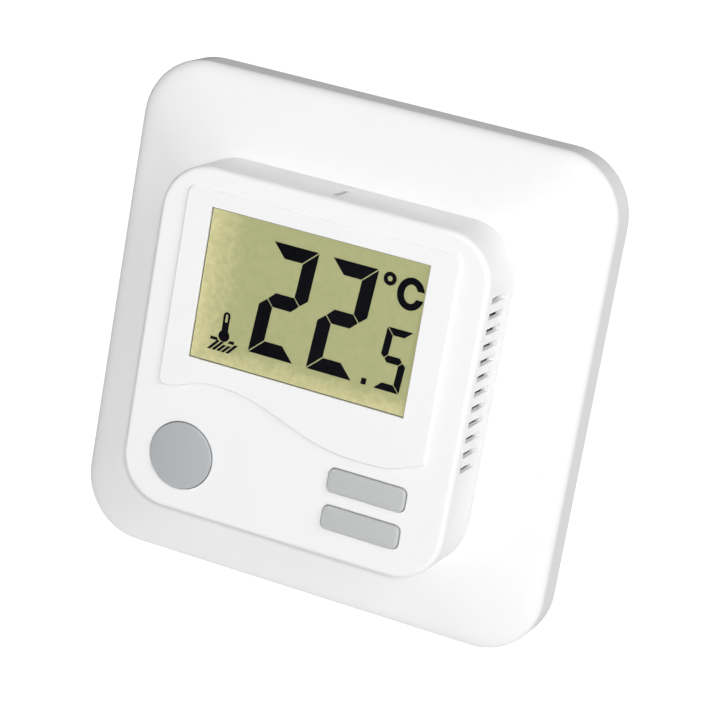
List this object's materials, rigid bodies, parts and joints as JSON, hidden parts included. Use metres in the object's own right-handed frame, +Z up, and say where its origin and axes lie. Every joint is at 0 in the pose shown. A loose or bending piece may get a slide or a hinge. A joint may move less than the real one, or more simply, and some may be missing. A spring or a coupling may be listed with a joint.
{
  "type": "wall thermostat",
  "caption": "Flush wall thermostat: square pillowed frame, raised square cover with a large display, a round key and two bar keys, and a rear housing for a round wall box.",
  "frame": {"origin": "centre of the wall plane, on the middle of the outer frame, where the mounting plate bears on the wall", "axes": "+X to the right as the user faces the thermostat, +Z up, +Y into the wall; the front faces -Y"},
  "size_m": [0.082, 0.0441, 0.082],
  "materials": {
    "white_shell": "smooth white plastic with a light sheen",
    "grey_key": "fine matt grey",
    "clear_pane": "clear polished pane",
    "lcd_glass": "yellow-green liquid-crystal display with dark segments",
    "backlight": "diffusing light guide",
    "elastomer": "layered conductive elastomer",
    "circuit_board": "green solder mask",
    "black_plastic": "moulded black",
    "plated_steel": "zinc plated",
    "brass": "plain brass",
    "grey_plastic": "moulded light grey",
    "relay_case": "moulded blue",
    "film_case": "moulded yellow",
    "varistor_coat": "dipped blue coating",
    "can_sleeve": "dark shrink sleeve"
  },
  "bodies": {
    "base": {"outer_frame": "white_shell", "display_window": "clear_pane", "display_board": "circuit_board", "lcd_panel": "lcd_glass", "lcd_holder": "black_plastic", "backlight_panel": "backlight", "zebra_strip_upper": "elastomer", "zebra_strip_lower": "elastomer", "tact_switch_round": "black_plastic", "tact_switch_up": "black_plastic", "tact_switch_down": "black_plastic", "microcontroller": "black_plastic", "room_sensor": "black_plastic", "board_socket": "black_plastic", "board_header": "black_plastic", "chassis": "black_plastic", "mounting_plate": "plated_steel", "rear_housing": "grey_plastic", "power_board": "circuit_board", "terminal_block": "grey_plastic", "terminal_cage_1": "plated_steel", "terminal_screw_1": "brass", "terminal_cage_2": "plated_steel", "terminal_screw_2": "brass", "terminal_cage_3": "plated_steel", "terminal_screw_3": "brass", "terminal_cage_4": "plated_steel", "terminal_screw_4": "brass", "terminal_cage_5": "plated_steel", "terminal_screw_5": "brass", "terminal_cage_6": "plated_steel", "terminal_screw_6": "brass", "relay": "relay_case", "film_capacitor": "film_case", "electrolytic_capacitor": "can_sleeve", "varistor": "varistor_coat", "housing_screw_1": "plated_steel", "housing_screw_2": "plated_steel", "housing_screw_3": "plated_steel", "housing_screw_4": "plated_steel"},
    "cover": {"front_cover": "white_shell"},
    "round_key": {"round_button": "grey_key"},
    "up_key": {"up_button": "grey_key"},
    "down_key": {"down_button": "grey_key"},
    "round_plunger": {"tact_plunger_round": "black_plastic"},
    "up_plunger": {"tact_plunger_up": "black_plastic"},
    "down_plunger": {"tact_plunger_down": "black_plastic"}
  },
  "joints": [
    {"name": "cover_pull", "type": "slide", "parent": "base", "child": "cover", "axis": [0, -1, 0], "range_m": [0, 0.04]},
    {"name": "round_press", "type": "slide", "parent": "cover", "child": "round_key", "axis": [0, 1, 0], "range_m": [0, 0.0006], "stiffness_N_per_m": 2500},
    {"name": "round_plunger_press", "type": "slide", "parent": "base", "child": "round_plunger", "axis": [0, 1, 0], "range_m": [0, 0.0006]},
    {"name": "up_press", "type": "slide", "parent": "cover", "child": "up_key", "axis": [0, 1, 0], "range_m": [0, 0.0006], "stiffness_N_per_m": 2500},
    {"name": "up_plunger_press", "type": "slide", "parent": "base", "child": "up_plunger", "axis": [0, 1, 0], "range_m": [0, 0.0006]},
    {"name": "down_press", "type": "slide", "parent": "cover", "child": "down_key", "axis": [0, 1, 0], "range_m": [0, 0.0006], "stiffness_N_per_m": 2500},
    {"name": "down_plunger_press", "type": "slide", "parent": "base", "child": "down_plunger", "axis": [0, 1, 0], "range_m": [0, 0.0006]}
  ],
  "couplings": [
    {"joint": "round_plunger_press", "follows": "round_press", "ratio": 1},
    {"joint": "up_plunger_press", "follows": "up_press", "ratio": 1},
    {"joint": "down_plunger_press", "follows": "down_press", "ratio": 1}
  ]
}
